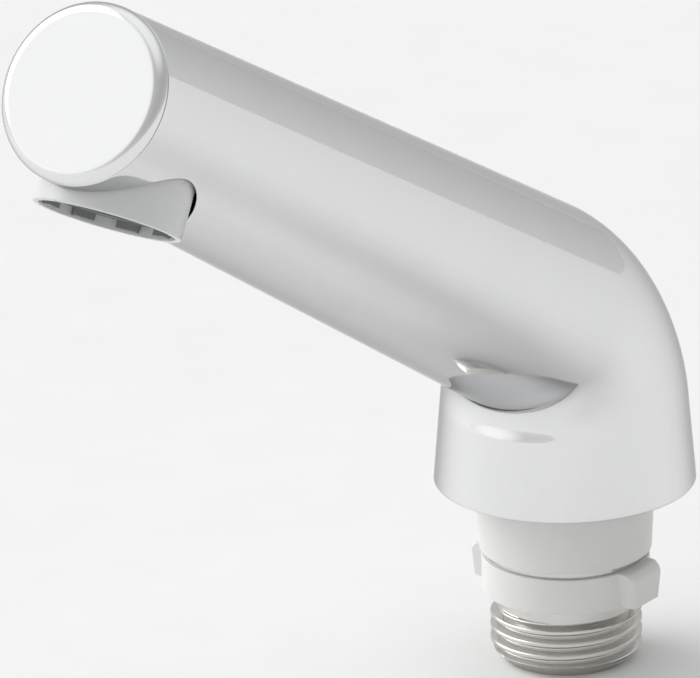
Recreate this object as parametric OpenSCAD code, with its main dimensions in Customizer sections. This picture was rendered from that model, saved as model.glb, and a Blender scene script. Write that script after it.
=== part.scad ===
// Pull-out spout: a bent, tapering hollow body with a front cap, an outlet collar with a recessed
// aerator, and under the foot a guide neck, a key ring with two lugs and a threaded hose nipple.
// Origin: centre of the foot rim. +Z runs up the leg, the arm runs towards -Y and rises.

/* [Body] */
// Outer diameter of the foot rim that seats on the tap
rim_d = 36.2; // [35.6:0.1:40]
// Narrowing of the leg from the rim upwards, in degrees a side
leg_taper = 4.84; // [4:0.02:5.6]
// Height at which the axes of the leg and the arm cross
bend_z = 22.6; // [22.2:0.1:26]
// Radius of the bend's centre line
bend_r = 20.5; // [19:0.1:21]
// Rise of the arm above the horizontal, in degrees
arm_rise = 30.7; // [29:0.1:40]
// Length of the arm from the axes' crossing to the front face
arm_l = 134.6; // [110:0.1:170]
// Diameter of the arm at the seam of the front cap
arm_d = 24.7; // [24.5:0.1:26]
// Narrowing of the arm towards the front, in degrees a side
arm_taper = 1.25; // [1:0.05:1.5]
// Wall thickness of the body
wall = 1.8; // [1.6:0.05:1.9]

/* [Front cap] */
// Radius of the cap's rounded front edge
cap_edge_r = 1.8; // [1:0.1:2.4]
// Thickness of the cap's front plate
cap_plate_t = 2.4; // [2:0.1:3]
// Length of the plug that enters the body
cap_plug_l = 2.3; // [2:0.05:2.4]
// Wall of the plug
cap_plug_t = 1.7; // [1.5:0.1:1.9]
// Width of the fine groove left at the seam
cap_seam = 0.12; // [0.05:0.01:0.2]
// Radius of the threaded stud
stud_r = 3; // [2:0.1:3.2]
// Depth that the stud enters the socket
stud_grip = 4.4; // [3:0.1:4.6]

/* [Outlet] */
// Distance of the outlet axis behind the front face
outlet_back = 15; // [14.8:0.1:18]
// Outer diameter of the collar
collar_d = 20.2; // [20:0.1:20.6]
// Distance of the collar's rim from the arm axis
collar_h = 14.1; // [13.6:0.1:17]
// Wall of the collar
collar_wall = 0.8; // [0.6:0.05:1]
// Gap between the collar and its opening in the body
collar_gap = 0.45; // [0.35:0.05:0.5]
// Gap between the socket and the inside of the arm
socket_gap = 0.35; // [0.3:0.05:0.5]
// Height of the socket's block above the arm axis
block_up = 7.4; // [7.2:0.1:8]
// Depth of the aerator chamber, from the collar's rim
chamber_depth = 6.7; // [6.4:0.1:6.8]

/* [Aerator] */
// Distance of the aerator's face behind the collar's rim
aerator_sink = 0.35; // [0.1:0.05:0.8]
// Thickness of the aerator's flat seal
seal_t = 1.2; // [1:0.1:1.4]
// Radial width of the seal
seal_w = 2.3; // [2:0.1:2.6]
// Notches for the key in the housing's face
notch_n = 9; // [6:1:12]
// Depth of the notches
notch_h = 1.1; // [0.6:0.05:1.2]
// Radial thickness of the notched edge
notch_t = 1; // [0.8:0.05:1.2]
// Wall of the housing behind the notched edge
housing_wall = 1.6; // [1.4:0.1:1.8]
// Width of the lip that holds the discs
lip_w = 0.4; // [0.3:0.05:0.6]
// Thickness of the lip
lip_t = 0.4; // [0.3:0.05:0.5]
// Thickness of each screen
screen_t = 0.45; // [0.3:0.05:0.5]
// Thickness of the stream grille
grille_t = 0.9; // [0.7:0.05:1]
// Spacing of the grille's hexagonal cells
grille_pitch = 1.65; // [1.5:0.05:2]
// Web between the cells
grille_web = 0.35; // [0.25:0.05:0.5]
// Spacing of the screens' square holes
screen_pitch = 1.5; // [1.3:0.1:2]
// Bar between the holes
screen_bar = 0.5; // [0.4:0.05:0.6]
// Jet holes in the diffuser
jet_n = 12; // [8:1:14]
// Diameter of a jet hole
jet_d = 1.1; // [0.8:0.1:1.2]
// Radius of the circle of jet holes
jet_ring_r = 4.1; // [3.8:0.1:4.3]
// Thickness of the regulator ring's section
regulator_d = 1.1; // [0.9:0.05:1.2]

/* [Water way] */
// Outer diameter of the water tube
tube_d = 11; // [10:0.1:11]
// Wall of the water tube
tube_wall = 1.3; // [1:0.1:1.6]
// Length of the tube's end in the socket
tube_grip = 6.5; // [6:0.1:6.8]
// Length of the tube's end in the nipple
tube_seat = 5.9; // [5.4:0.1:6]
// Thickness of the rubber rings' section
o_ring_d = 1; // [0.9:0.05:1.1]
// Play of a turned joint, on the radius
play = 0.05; // [0.03:0.01:0.06]
// Play of a rubber ring in its groove
ring_play = 0.02; // [0.01:0.01:0.03]

/* [Guide sleeve] */
// Diameter of the neck at the foot rim
neck_d = 24.8; // [24.4:0.1:25.2]
// Narrowing of the neck downwards, in degrees a side
neck_taper = 2.9; // [2:0.1:3.2]
// Length of the neck below the foot rim
neck_l = 9.9; // [9:0.1:12]
// Diameter of the bore in the foot
foot_bore_d = 30; // [29.6:0.1:30.2]
// Depth of the bore in the foot
foot_bore_h = 7; // [6.6:0.1:7.4]
// Thickness of the ring wall above that bore
web_t = 2.3; // [2:0.1:2.4]
// Diameter of the hole in that ring wall
web_hole_d = 24; // [23.8:0.1:24.6]
// Thickness of the sleeve's flange
flange_t = 3; // [2.6:0.1:3.2]
// Thickness of the retaining ring
clip_t = 1; // [0.8:0.1:1.2]
// Radial width of the retaining ring
clip_w = 1.6; // [1.4:0.1:1.7]
// Depth of the retaining ring's groove
clip_groove = 0.9; // [0.7:0.05:0.95]

/* [Key ring] */
// Outer diameter of the key ring
key_ring_d = 23.2; // [23:0.1:23.6]
// Height of the key ring
key_ring_h = 5.1; // [4.6:0.1:6]
// Height of the open groove above the key ring
groove_h = 0.95; // [0.7:0.05:1.4]
// Diameter at the bottom of that groove
groove_d = 22; // [21.6:0.1:22.4]
// Reach of a lug's outer face from the axis
lug_reach = 13.5; // [13:0.1:14.5]
// Width of a lug at its top
lug_w = 7.6; // [6:0.1:9]
// Narrowing of a lug's width from top to bottom
lug_draft = 1.2; // [0:0.1:2]
// Inward slope of a lug's outer face, over its height
lug_slope = 0.25; // [0:0.05:0.5]
// Rounding of a lug's top outer edge
lug_round = 1.5; // [0.5:0.1:2]
// Chamfer of a lug's upright edges
lug_chamfer = 0.45; // [0.2:0.05:0.8]

/* [Hose nipple] */
// Major diameter of the hose thread, G 1/2
thread_d = 20.955; // [20.9:0.005:21]
// Minor diameter of the hose thread
thread_core_d = 18.63; // [18.5:0.01:18.7]
// Length from the key ring to the nipple's end
thread_l = 10; // [9.8:0.1:14]
// Length of the relief under the key ring
relief_l = 2.2; // [1.8:0.1:2.6]
// Axial length of the chamfer at the nipple's end
thread_chamfer = 1.9; // [1:0.1:2.4]
// Diameter of the end face
thread_end_d = 17.2; // [17:0.1:17.6]
// Diameter of the stem in the sleeve
stem_d = 19.2; // [19:0.1:19.4]
// Height of the stem's top above the foot rim
stem_top = 10.4; // [10.2:0.05:10.45]
// Height of the clamping nut
nut_h = 2.9; // [2.4:0.1:3.1]
// Diameter of the clamping nut
nut_d = 23.2; // [22.6:0.1:23.4]

/* [Check valve] */
// Diameter of the cartridge
valve_d = 15; // [14.8:0.1:15.2]
// Wall of the cartridge
valve_wall = 1.9; // [1.8:0.1:2]
// Thickness of the cartridge's floor
valve_floor_t = 1.2; // [1:0.1:1.5]
// Diameter of the hole in the valve seat
seat_hole_d = 7.2; // [6.8:0.1:7.4]
// Diameter of the poppet's disc
poppet_d = 9.6; // [9.2:0.1:9.8]
// Thickness of the poppet's disc
poppet_t = 1.2; // [1:0.1:1.4]
// Thickness of the poppet's seal
poppet_seal_t = 0.8; // [0.6:0.05:1]
// Diameter of the poppet's stem
poppet_stem_d = 2; // [1.8:0.1:2.2]
// Thickness of the valve guide's spokes
spoke_t = 2; // [1.6:0.1:2.4]
// Length of the guide's hub
hub_l = 3.4; // [3:0.1:3.8]
// Mean diameter of the spring
spring_d = 5.6; // [5.4:0.1:6]
// Diameter of the spring's wire
wire_d = 0.5; // [0.4:0.05:0.6]
// Turns of the spring
spring_turns = 6; // [4:1:7]
// Thickness of the snap ring under the cartridge
snap_t = 0.6; // [0.5:0.05:0.8]
// Depth of the snap ring's groove
snap_groove = 0.5; // [0.4:0.05:0.6]

/* [Hidden] */
$fn = 96;

// Colours
chrome = "#d8dadc";
pale_plastic = "#e9e9e6";
grey_plastic = "#b9bcbe";
white_plastic = "#f3f3f0";
rubber_black = "#2b2b2d";
brass_plated = "#c9ccce";
steel = "#a9acb0";

// Fineness of the lofted surfaces
loft_sides = 72;
bend_steps = 14;
tube_sides = 36;
tube_steps = 10;

// Places on the body
turn = 90 - arm_rise;
bend_t = bend_r * tan(turn / 2);
bend_low_z = bend_z - bend_t;
seam_s = arm_l - cap_edge_r;
function leg_r(z) = rim_d / 2 - z * tan(leg_taper);
function arm_r(s) = arm_d / 2 + (seam_s - s) * tan(arm_taper);
web_z = foot_bore_h + web_t;
past = 1;

// Front cap
cap_bore_step = 0.2;
cap_bore_room = 0.2;
cap_bore_r = arm_d / 2 - wall + cap_bore_step;
cap_bore_l = cap_plug_l + cap_bore_room;
cap_plug_r = cap_bore_r - play;

// Outlet, measured along its own axis from the arm axis outwards
outlet_s = arm_l - outlet_back;
collar_r = collar_d / 2;
opening_r = collar_r + collar_gap;
block_r = arm_d / 2 - wall - socket_gap;
chamber_r = collar_r - collar_wall;
chamber_z = collar_h - chamber_depth;
rim_chamfer = 0.25;
tube_r = tube_d / 2;
tube_bore_r = tube_r + play;
water_r = tube_r - tube_wall;
drop_r = 3.8;
way_past = 3;
tube_stop_y = tube_grip - collar_r;
tube_ring_back = 2.35;
o_ring_r = tube_r + ring_play + o_ring_d / 2;
o_groove_r = o_ring_r + o_ring_d / 2 + ring_play;
o_groove_w = o_ring_d + 2 * ring_play;
socket_ring_y = tube_stop_y - tube_ring_back;
stud_room = 0.8;
stud_low_y = collar_r - stud_grip;

// Aerator, along the outlet axis
housing_r = chamber_r - play;
housing_low = collar_h - aerator_sink;
housing_top = chamber_z + seal_t;
ring_low = housing_low - notch_h;
disc_bore_r = housing_r - housing_wall;
disc_r = disc_bore_r - play;
grille_low = ring_low - lip_t;
grille_top = grille_low - grille_t;
fine_top = grille_top - screen_t;
coarse_top = fine_top - screen_t;
notch_turn = 36.4;
regulator_r = jet_ring_r;
boss_r = regulator_r - regulator_d / 2 - ring_play;
cup_r = regulator_r + regulator_d / 2 + ring_play;
cup_wall = 0.8;
cup_h = 0.8;

// Neck, key ring and nipple, downwards from the foot rim
neck_low = -neck_l;
key_top = neck_low - groove_h;
key_low = key_top - key_ring_h;
nipple_low = key_low - thread_l;
function neck_r(z) = neck_d / 2 + z * tan(neck_taper);
flange_low = foot_bore_h - flange_t;
flange_r = foot_bore_d / 2 - play * 2;
stem_r = stem_d / 2;
key_ring_room = 0.35;
key_bore_r = thread_d / 2 + key_ring_room;
nipple_stop = stem_top - tube_seat;
inlet_ring_z = nipple_stop + tube_ring_back;
nut_slot_w = 2;
nut_slot_h = 1.2;

// Check valve
valve_r = valve_d / 2;
valve_bore_r = valve_r + play;
snap_back = 0.7;
snap_z = nipple_low + snap_back;
valve_low = snap_z + snap_t;
valve_h = 15;
valve_top = valve_low + valve_h;
valve_in_r = valve_r - valve_wall;
seat_z = valve_low + valve_floor_t;
disc_z = seat_z + poppet_seal_t;
disc_top = disc_z + poppet_t;
guide_top = valve_top;
spoke_z = guide_top - spoke_t;
hub_z = guide_top - hub_l;
stem_bore_r = poppet_stem_d / 2 + play;
guide_ledge = 0.5;
nose_gap = 1;
nose_r = seat_hole_d / 2 - nose_gap;
valve_ring_back = 4;
valve_groove_z = valve_top - valve_ring_back;
valve_ring_r = valve_bore_r - ring_play - o_ring_d / 2;

// The mean of a list of points.
function mean(points) = [for (j = [0:len(points) - 1]) 1] * points / len(points);

// A surface through rings of points, each ring as long as the others, with flat ends.
module skin(rings) {
    n = len(rings[0]);
    m = len(rings);
    points = concat([for (ring = rings) for (p = ring) p], [mean(rings[0]), mean(rings[m - 1])]);
    sides = [for (i = [0:m - 2], j = [0:n - 1])
        let (a = i * n + j, b = i * n + (j + 1) % n, c = a + n, d = b + n)
        each [[a, c, b], [b, c, d]]];
    low_end = [for (j = [0:n - 1]) [m * n, j, (j + 1) % n]];
    high_end = [for (j = [0:n - 1]) [m * n + 1, (m - 1) * n + (j + 1) % n, (m - 1) * n + j]];
    polyhedron(points, concat(sides, low_end, high_end), convexity = 6);
}

// A surface through rings of points that joins the last ring to the first.
module looped_skin(rings) {
    n = len(rings[0]);
    m = len(rings);
    sides = [for (i = [0:m - 1], j = [0:n - 1])
        let (a = i * n + j, b = i * n + (j + 1) % n, c = (a + n) % (m * n), d = (b + n) % (m * n))
        each [[a, c, b], [b, c, d]]];
    polyhedron([for (ring = rings) for (p = ring) p], sides, convexity = 6);
}

// A round section across the way of the body: its centre, its turn about X, its radius.
function section(centre, a, r, sides) = [for (j = [0:sides - 1])
    let (t = 360 * j / sides)
    centre + r * [cos(t), sin(t) * cos(a), sin(t) * sin(a)]];

// Rings up the leg from z0, round the bend and along the arm to s1. Their radius is r_leg at z0,
// r_low and r_high at the bend's two ends, and r_arm at s1.
function bent_rings(z0, s1, r_leg, r_low, r_high, r_arm, sides = loft_sides, steps = bend_steps) =
    concat([section([0, 0, z0], 0, r_leg, sides)],
        [for (i = [0:steps]) let (f = i / steps, a = turn * f)
            section([0, bend_r * (cos(a) - 1), bend_low_z + bend_r * sin(a)], a,
                    r_low + (r_high - r_low) * f, sides)],
        [section([0, -s1 * cos(arm_rise), bend_z + s1 * sin(arm_rise)], turn, r_arm, sides)]);

// The rings of the body, thinner than its outside by inset.
function body_rings(z0, s1, inset) = bent_rings(z0, s1, leg_r(z0) - inset, leg_r(bend_low_z) - inset,
                                                arm_r(bend_t) - inset, arm_r(s1) - inset);

// The arm's own frame: +Z along the arm from the axes' crossing.
module along_arm(s = 0) {
    translate([0, 0, bend_z]) rotate([turn, 0, 0]) translate([0, 0, s]) children();
}

// The outlet's own frame: +Z out of the outlet, +Y towards the front.
module at_outlet(z = 0) {
    along_arm(outlet_s) rotate([90, 0, 0]) translate([0, 0, z]) children();
}

// A flat ring between two radii.
module ring(r_out, r_in, h) {
    difference() {
        cylinder(r = r_out, h = h);
        translate([0, 0, -past]) cylinder(r = r_in, h = h + 2 * past);
    }
}

// A rubber ring of round section, centred on the origin.
module o_ring(r) {
    rotate_extrude() translate([r, 0]) circle(d = o_ring_d, $fn = 24);
}

// The groove for a rubber ring, between two radii, centred on the origin.
module ring_groove(r_out, r_in) {
    translate([0, 0, -o_groove_w / 2]) ring(r_out, r_in, o_groove_w);
}

module spout_body() {
    color(chrome) difference() {
        skin(body_rings(0, seam_s, 0));
        skin(body_rings(web_z, seam_s + past, wall));
        translate([0, 0, -past]) cylinder(d = foot_bore_d, h = foot_bore_h + past);
        cylinder(d = web_hole_d, h = web_z + past);
        translate([0, 0, flange_low - clip_t - ring_play])
            cylinder(r = foot_bore_d / 2 + clip_groove, h = clip_t + 2 * ring_play);
        along_arm(seam_s - cap_bore_l) cylinder(r = cap_bore_r, h = cap_bore_l + past);
        at_outlet() cylinder(r = opening_r, h = arm_d);
    }
}

module end_cap() {
    color(chrome) along_arm(seam_s) {
        difference() {
            rotate_extrude() {
                translate([arm_d / 2 - cap_edge_r, 0]) intersection() {
                    circle(r = cap_edge_r);
                    translate([0, cap_seam]) square(cap_edge_r);
                }
                translate([0, cap_seam]) square([arm_d / 2 - cap_edge_r, cap_edge_r - cap_seam]);
                translate([0, cap_edge_r - cap_plate_t])
                    square([cap_plug_r, cap_plate_t - cap_edge_r + past / 2]);
                translate([cap_plug_r - cap_plug_t, -cap_plug_l]) square([cap_plug_t, cap_plug_l + past / 2]);
            }
            translate([0, 0, -cap_plug_l / 2])
                ring_groove(arm_d, cap_bore_r - o_ring_d - 2 * ring_play);
        }
        translate([0, 0, outlet_s + stud_low_y - seam_s])
            cylinder(r = stud_r - play, h = seam_s - outlet_s - stud_low_y);
    }
}

module cap_o_ring() {
    color(rubber_black) along_arm(seam_s - cap_plug_l / 2) o_ring(cap_bore_r - ring_play - o_ring_d / 2);
}

module outlet_socket() {
    color(pale_plastic) at_outlet() difference() {
        intersection() {
            translate([0, 0, -block_up]) rotate_extrude() polygon([[0, 0], [collar_r, 0],
                [collar_r, block_up + collar_h - rim_chamfer],
                [collar_r - rim_chamfer, block_up + collar_h], [0, block_up + collar_h]]);
            union() {
                translate([0, -collar_r - past, 0]) rotate([-90, 0, 0])
                    cylinder(r = block_r, h = 2 * (collar_r + past));
                translate([-collar_r - past, -collar_r - past, 0])
                    cube([2 * (collar_r + past), 2 * (collar_r + past), collar_h + past]);
            }
        }
        translate([0, 0, chamber_z]) cylinder(r = chamber_r, h = chamber_depth + past);
        cylinder(r = drop_r, h = chamber_z + past);
        rotate([90, 0, 0]) translate([0, 0, -way_past]) cylinder(r = water_r, h = collar_r);
        rotate([90, 0, 0]) translate([0, 0, -tube_stop_y]) cylinder(r = tube_bore_r, h = collar_r);
        translate([0, socket_ring_y, 0]) rotate([90, 0, 0]) ring_groove(o_groove_r, water_r);
        rotate([-90, 0, 0]) translate([0, 0, stud_low_y - stud_room]) cylinder(r = stud_r, h = collar_r);
    }
}

module aerator_seal() {
    color(rubber_black) at_outlet(chamber_z) ring(housing_r, housing_r - seal_w, seal_t);
}

module aerator_housing() {
    color(grey_plastic) at_outlet() difference() {
        rotate_extrude() polygon([[housing_r, housing_top], [housing_r, housing_low],
            [housing_r - notch_t, housing_low], [housing_r - notch_t, ring_low],
            [disc_bore_r - lip_w, ring_low], [disc_bore_r - lip_w, ring_low - lip_t],
            [disc_bore_r, ring_low - lip_t], [disc_bore_r, housing_top]]);
        for (k = [0:notch_n - 1]) rotate([0, 0, notch_turn + (k - 0.25) * 360 / notch_n])
            translate([0, 0, ring_low]) rotate_extrude(angle = 180 / notch_n)
                translate([disc_bore_r - lip_w / 2, 0]) square([housing_r, notch_h + past]);
    }
}

module flow_regulator() {
    color(rubber_black) at_outlet(housing_top - regulator_d / 2)
        rotate_extrude() translate([regulator_r, 0]) circle(d = regulator_d, $fn = 24);
}

module diffuser_plate() {
    color(white_plastic) at_outlet() difference() {
        union() {
            translate([0, 0, housing_top]) cylinder(r = disc_r, h = coarse_top - housing_top);
            translate([0, 0, housing_top - cup_h]) cylinder(r = boss_r, h = cup_h + past / 2);
            translate([0, 0, housing_top - cup_h]) ring(cup_r + cup_wall, cup_r, cup_h + past / 2);
        }
        for (k = [0:jet_n - 1]) rotate([0, 0, k * 360 / jet_n]) translate([jet_ring_r, 0, housing_top - past])
            cylinder(d = jet_d, h = coarse_top - housing_top + 2 * past, $fn = 16);
    }
}

// A disc with a grid of square holes inside its rim.
module screen(r) {
    hole = screen_pitch - screen_bar;
    n = floor(r / screen_pitch);
    linear_extrude(screen_t) difference() {
        circle(r = r);
        for (i = [-n:n], j = [-n:n])
            if (norm([i, j]) * screen_pitch + hole < r) translate([i, j] * screen_pitch)
                square(hole, center = true);
    }
}

module screen_coarse() {
    color(steel) at_outlet(coarse_top) screen(disc_r);
}

module screen_fine() {
    color(steel) at_outlet(fine_top) rotate([0, 0, 45]) screen(disc_r);
}

module stream_grille() {
    cell_r = (grille_pitch - grille_web) / sqrt(3);
    n = ceil(disc_r / grille_pitch);
    clear_r = disc_bore_r - lip_w - grille_web / 2;
    color(grey_plastic) at_outlet(grille_top) linear_extrude(grille_t) difference() {
        circle(r = disc_r);
        for (i = [-n:n], j = [-n:n])
            let (p = [i + j / 2, j * sqrt(3) / 2] * grille_pitch)
                if (norm(p) + cell_r < clear_r) translate(p) rotate(30) circle(r = cell_r, $fn = 6);
    }
}

// The rings of one radius along the water tube, up the leg, round the bend and along the arm.
function tube_rings(r) = bent_rings(nipple_stop, outlet_s + tube_stop_y - play, r, r, r, r,
                                    tube_sides, tube_steps);

module water_tube() {
    inner = tube_rings(water_r);
    last = len(inner) - 1;
    color(white_plastic) looped_skin(concat(tube_rings(tube_r), [for (i = [0:last]) inner[last - i]]));
}

module outlet_o_ring() {
    color(rubber_black) at_outlet() translate([0, socket_ring_y, 0]) rotate([90, 0, 0]) o_ring(o_ring_r);
}

module inlet_o_ring() {
    color(rubber_black) translate([0, 0, inlet_ring_z]) o_ring(o_ring_r);
}

module guide_sleeve() {
    color(pale_plastic) rotate_extrude() polygon([[stem_r + play, neck_low],
        [neck_r(neck_low) - rim_chamfer, neck_low], [neck_r(neck_low), neck_low + rim_chamfer],
        [neck_r(flange_low), flange_low], [flange_r, flange_low], [flange_r, foot_bore_h],
        [stem_r + play, foot_bore_h]]);
}

module retaining_ring() {
    r_out = foot_bore_d / 2 + clip_groove - play;
    r_in = r_out - clip_w;
    ear_r = 1.1;
    ear_hole_r = 0.5;
    ear_at = r_in - 0.45;
    ear_turn = 20;
    gap = 34;
    far = r_out + past;
    color(steel) translate([0, 0, flange_low - clip_t]) linear_extrude(clip_t) difference() {
        union() {
            difference() {
                circle(r = r_out);
                circle(r = r_in);
                polygon([[0, 0], [-far * tan(gap / 2), far], [far * tan(gap / 2), far]]);
            }
            for (side = [-1, 1]) rotate(side * ear_turn) translate([0, ear_at]) circle(r = ear_r, $fn = 32);
        }
        for (side = [-1, 1]) rotate(side * ear_turn) translate([0, ear_at]) circle(r = ear_hole_r, $fn = 24);
    }
}

module clamp_nut() {
    color(brass_plated) translate([0, 0, foot_bore_h]) difference() {
        ring(nut_d / 2, stem_r + play, nut_h);
        for (side = [0, 90]) rotate([0, 0, side])
            translate([-nut_d / 2 - past, -nut_slot_w / 2, nut_h - nut_slot_h])
                cube([nut_d + 2 * past, nut_slot_w, nut_slot_h + past]);
    }
}

// One level of a lug: an outline that starts inside the ring and has chamfered outer corners.
function lug_outline(z, half, reach) = let (root = (key_bore_r + key_ring_d / 2) / 2, c = lug_chamfer)
    [[root, -half, z], [reach - c, -half, z], [reach, -half + c, z],
     [reach, half - c, z], [reach - c, half, z], [root, half, z]];

module lug() {
    steps = 6;
    body_h = key_ring_h - lug_round;
    function half_at(z) = lug_w / 2 - lug_draft / 2 * (key_top - z) / key_ring_h;
    function reach_at(z) = lug_reach - lug_slope * (key_top - z) / key_ring_h;
    levels = concat([key_low], [for (i = [0:steps]) key_low + body_h + lug_round * sin(90 * i / steps)]);
    skin([for (i = [0:len(levels) - 1]) let (z = levels[i], a = max(0, i - 1) * 90 / steps)
        lug_outline(z, half_at(z), reach_at(z) - lug_round * (1 - cos(a)))]);
}

module key_ring() {
    edge = 0.15;
    r = key_ring_d / 2;
    color(pale_plastic) {
        difference() {
            union() {
                rotate_extrude() polygon([[0, key_low], [r - edge, key_low], [r, key_low + edge],
                                          [r, key_top], [0, key_top]]);
                for (side = [0, 180]) rotate([0, 0, side]) lug();
            }
            translate([0, 0, key_low - past]) cylinder(r = key_bore_r, h = key_ring_h + 2 * past);
        }
    }
}

module hose_nipple() {
    seat_r = key_bore_r - play;
    thread_top = key_low - relief_l;
    mouth = 0.4;
    runout = 0.6;
    color(brass_plated) difference() {
        rotate_extrude() polygon([[valve_bore_r + mouth, nipple_low], [thread_end_d / 2, nipple_low],
            [thread_d / 2, nipple_low + thread_chamfer], [thread_d / 2, thread_top - runout],
            [thread_core_d / 2, thread_top], [thread_core_d / 2, key_low], [seat_r, key_low],
            [seat_r, key_top], [groove_d / 2, key_top], [groove_d / 2, neck_low], [stem_r, neck_low],
            [stem_r, stem_top], [tube_bore_r, stem_top], [tube_bore_r, nipple_stop],
            [water_r, nipple_stop], [water_r, valve_top], [valve_bore_r, valve_top],
            [valve_bore_r, nipple_low + mouth]]);
        translate([0, 0, snap_z - ring_play])
            cylinder(r = valve_bore_r + snap_groove, h = snap_t + 2 * ring_play);
        translate([0, 0, inlet_ring_z]) ring_groove(o_groove_r, water_r);
    }
}

module check_valve_housing() {
    color(white_plastic) difference() {
        translate([0, 0, valve_low]) cylinder(r = valve_r, h = valve_h);
        translate([0, 0, seat_z]) cylinder(r = valve_in_r, h = valve_h);
        translate([0, 0, spoke_z]) cylinder(r = valve_in_r + guide_ledge, h = valve_h);
        translate([0, 0, valve_low - past]) cylinder(d = seat_hole_d, h = valve_h);
        translate([0, 0, valve_groove_z]) ring_groove(valve_d, valve_ring_r - o_ring_d / 2 - ring_play);
    }
}

module check_valve_o_ring() {
    color(rubber_black) translate([0, 0, valve_groove_z]) o_ring(valve_ring_r);
}

module check_valve_guide() {
    rim_r = valve_in_r + guide_ledge - play;
    rim_t = 0.9;
    hub_r = 1.9;
    hub_up = 0.3;
    spoke_w = 1.1;
    color(grey_plastic) difference() {
        union() {
            translate([0, 0, spoke_z]) linear_extrude(spoke_t) {
                difference() {
                    circle(r = rim_r);
                    circle(r = rim_r - rim_t);
                }
                for (k = [0:2]) rotate(90 + 120 * k) translate([0, -spoke_w / 2])
                    square([rim_r - rim_t / 2, spoke_w]);
            }
            translate([0, 0, hub_z]) cylinder(r = hub_r, h = hub_l + hub_up);
        }
        translate([0, 0, hub_z - past]) cylinder(r = stem_bore_r, h = hub_l + 2 * past);
    }
}

module valve_poppet() {
    nose_l = 1.5;
    nose_end_r = 1;
    edge = 0.3;
    stem_end_back = 0.6;
    r = poppet_stem_d / 2;
    top = guide_top - stem_end_back;
    color(white_plastic) rotate_extrude() polygon([[0, disc_z - nose_l], [nose_end_r, disc_z - nose_l],
        [nose_r, disc_z - poppet_seal_t], [nose_r, disc_z], [poppet_d / 2, disc_z],
        [poppet_d / 2, disc_top - edge], [poppet_d / 2 - edge, disc_top], [r, disc_top],
        [r, top - edge], [r - edge, top], [0, top]]);
}

module poppet_seal() {
    seal_back = 0.1;
    color(rubber_black) translate([0, 0, seat_z])
        ring(poppet_d / 2 - seal_back, nose_r + play, poppet_seal_t);
}

// The spring's wire, swept round a helix between the disc and the spokes.
module valve_spring() {
    sides = 8;
    per_turn = 16;
    n = spring_turns * per_turn;
    low = disc_top + wire_d / 2;
    high = spoke_z - wire_d / 2;
    function wire_at(i) = let (a = 360 * i / per_turn, z = low + (high - low) * i / n)
        [for (j = [0:sides - 1]) let (t = -360 * j / sides, r = spring_d / 2 + wire_d / 2 * cos(t))
            [r * cos(a), r * sin(a), z + wire_d / 2 * sin(t)]];
    color(steel) skin([for (i = [0:n]) wire_at(i)]);
}

module valve_snap_ring() {
    r_out = valve_bore_r + snap_groove - play;
    reach_in = 0.9;
    r_in = valve_r - reach_in;
    gap = 30;
    color(steel) translate([0, 0, snap_z]) rotate([0, 0, gap / 2])
        rotate_extrude(angle = 360 - gap) translate([r_in, 0]) square([r_out - r_in, snap_t]);
}

spout_body();
end_cap();
cap_o_ring();
outlet_socket();
aerator_seal();
aerator_housing();
flow_regulator();
diffuser_plate();
screen_coarse();
screen_fine();
stream_grille();
water_tube();
outlet_o_ring();
inlet_o_ring();
guide_sleeve();
retaining_ring();
clamp_nut();
key_ring();
hose_nipple();
check_valve_housing();
check_valve_o_ring();
check_valve_guide();
valve_poppet();
poppet_seal();
valve_spring();
valve_snap_ring();
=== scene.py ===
"""Pull-out spout for a basin tap: a bent, tapering chrome shell with a round front cap, a short outlet
collar with a recessed aerator, and under the foot a guide neck, a key ring with two lugs and a threaded
hose nipple. The functions work in millimetres, and skin_mesh() turns them to metres."""

import bpy
import numpy as np
from mathutils import Matrix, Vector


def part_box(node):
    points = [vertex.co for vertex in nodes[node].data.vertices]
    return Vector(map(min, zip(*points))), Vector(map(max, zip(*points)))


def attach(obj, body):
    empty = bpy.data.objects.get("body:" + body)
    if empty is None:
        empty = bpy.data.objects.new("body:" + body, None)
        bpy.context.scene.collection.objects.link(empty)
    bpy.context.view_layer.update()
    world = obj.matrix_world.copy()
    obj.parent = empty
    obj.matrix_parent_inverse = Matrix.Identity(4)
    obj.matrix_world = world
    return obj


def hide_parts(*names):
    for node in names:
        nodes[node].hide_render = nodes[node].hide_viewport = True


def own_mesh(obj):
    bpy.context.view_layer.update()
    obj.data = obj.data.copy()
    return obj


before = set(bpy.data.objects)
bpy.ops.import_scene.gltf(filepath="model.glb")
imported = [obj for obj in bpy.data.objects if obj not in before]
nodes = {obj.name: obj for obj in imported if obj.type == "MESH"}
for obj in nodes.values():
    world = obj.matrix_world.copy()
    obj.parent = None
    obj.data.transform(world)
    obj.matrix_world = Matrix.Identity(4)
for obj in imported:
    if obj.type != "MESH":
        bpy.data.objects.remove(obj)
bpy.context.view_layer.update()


def span(node, axis):
    """Lowest and highest place of a solid along an axis (0 x, 1 y, 2 z), in millimetres."""
    low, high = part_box(node)
    return low[axis] * 1000, high[axis] * 1000


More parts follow.
